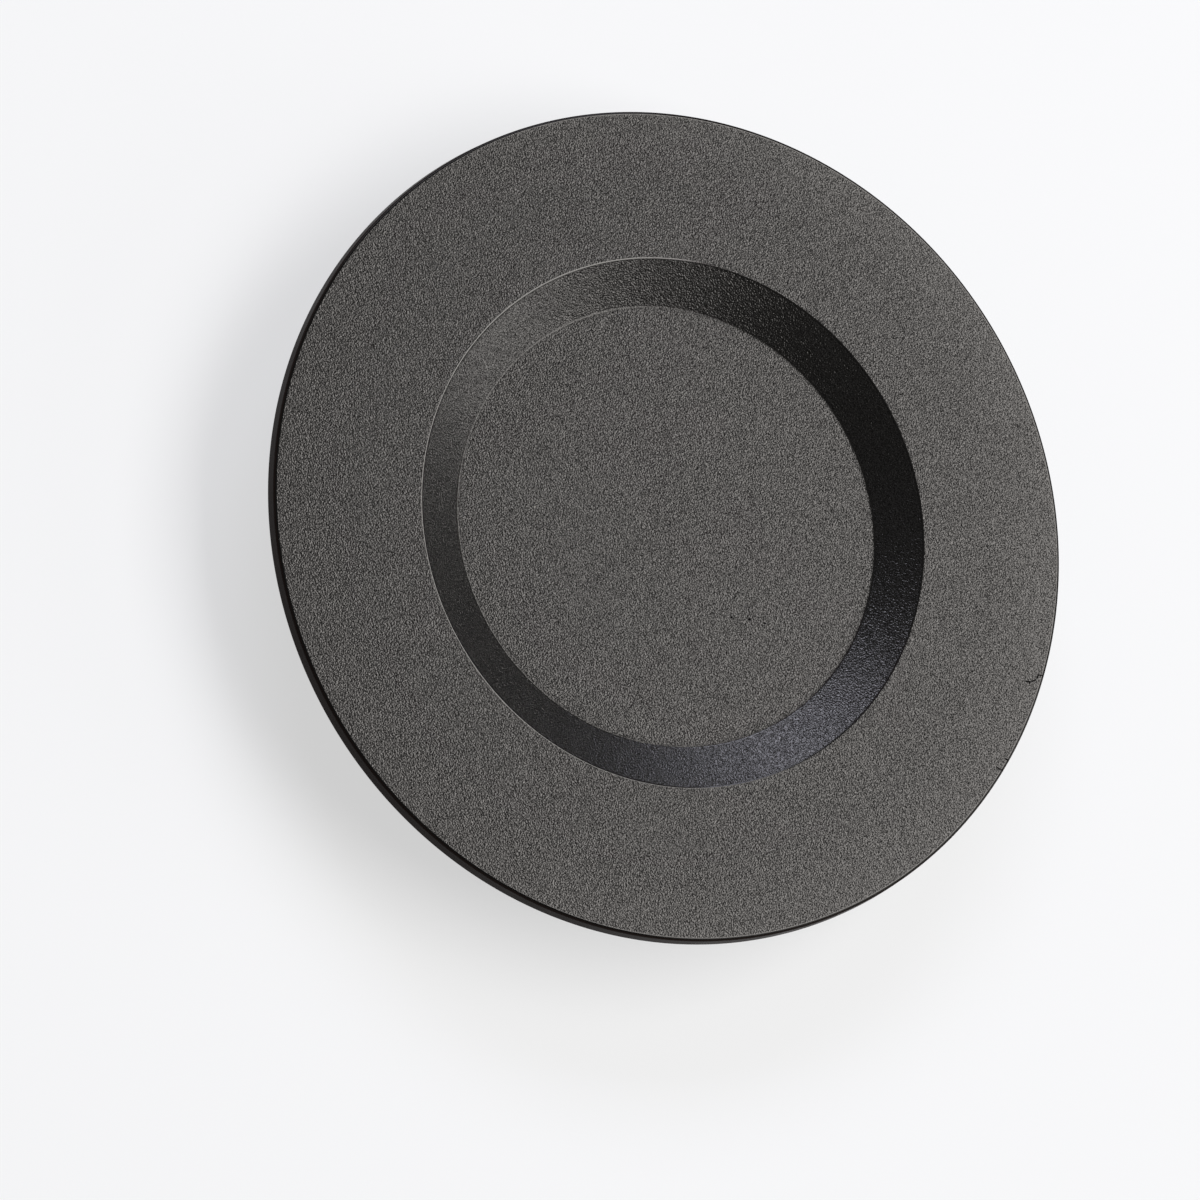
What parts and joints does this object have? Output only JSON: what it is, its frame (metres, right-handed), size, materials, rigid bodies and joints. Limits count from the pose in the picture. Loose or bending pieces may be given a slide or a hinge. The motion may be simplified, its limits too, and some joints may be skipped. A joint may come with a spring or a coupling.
{
  "type": "telescope lens cap",
  "caption": "Round plug-in lens cap: flat flange with a shallow dish in its face, and a plain skirt behind that fits inside a telescope tube.",
  "frame": {"origin": "on the axis, at the end of the skirt, which the cap stands on", "axes": "+Z along the axis, out of the face; the skirt points to -Z"},
  "size_m": [0.07, 0.07, 0.0083],
  "materials": {
    "cap_plastic": "black moulded plastic with a fine spark-eroded grain on the face and a smooth side"
  },
  "bodies": {
    "root": {"cap": "cap_plastic"}
  },
  "joints": []
}
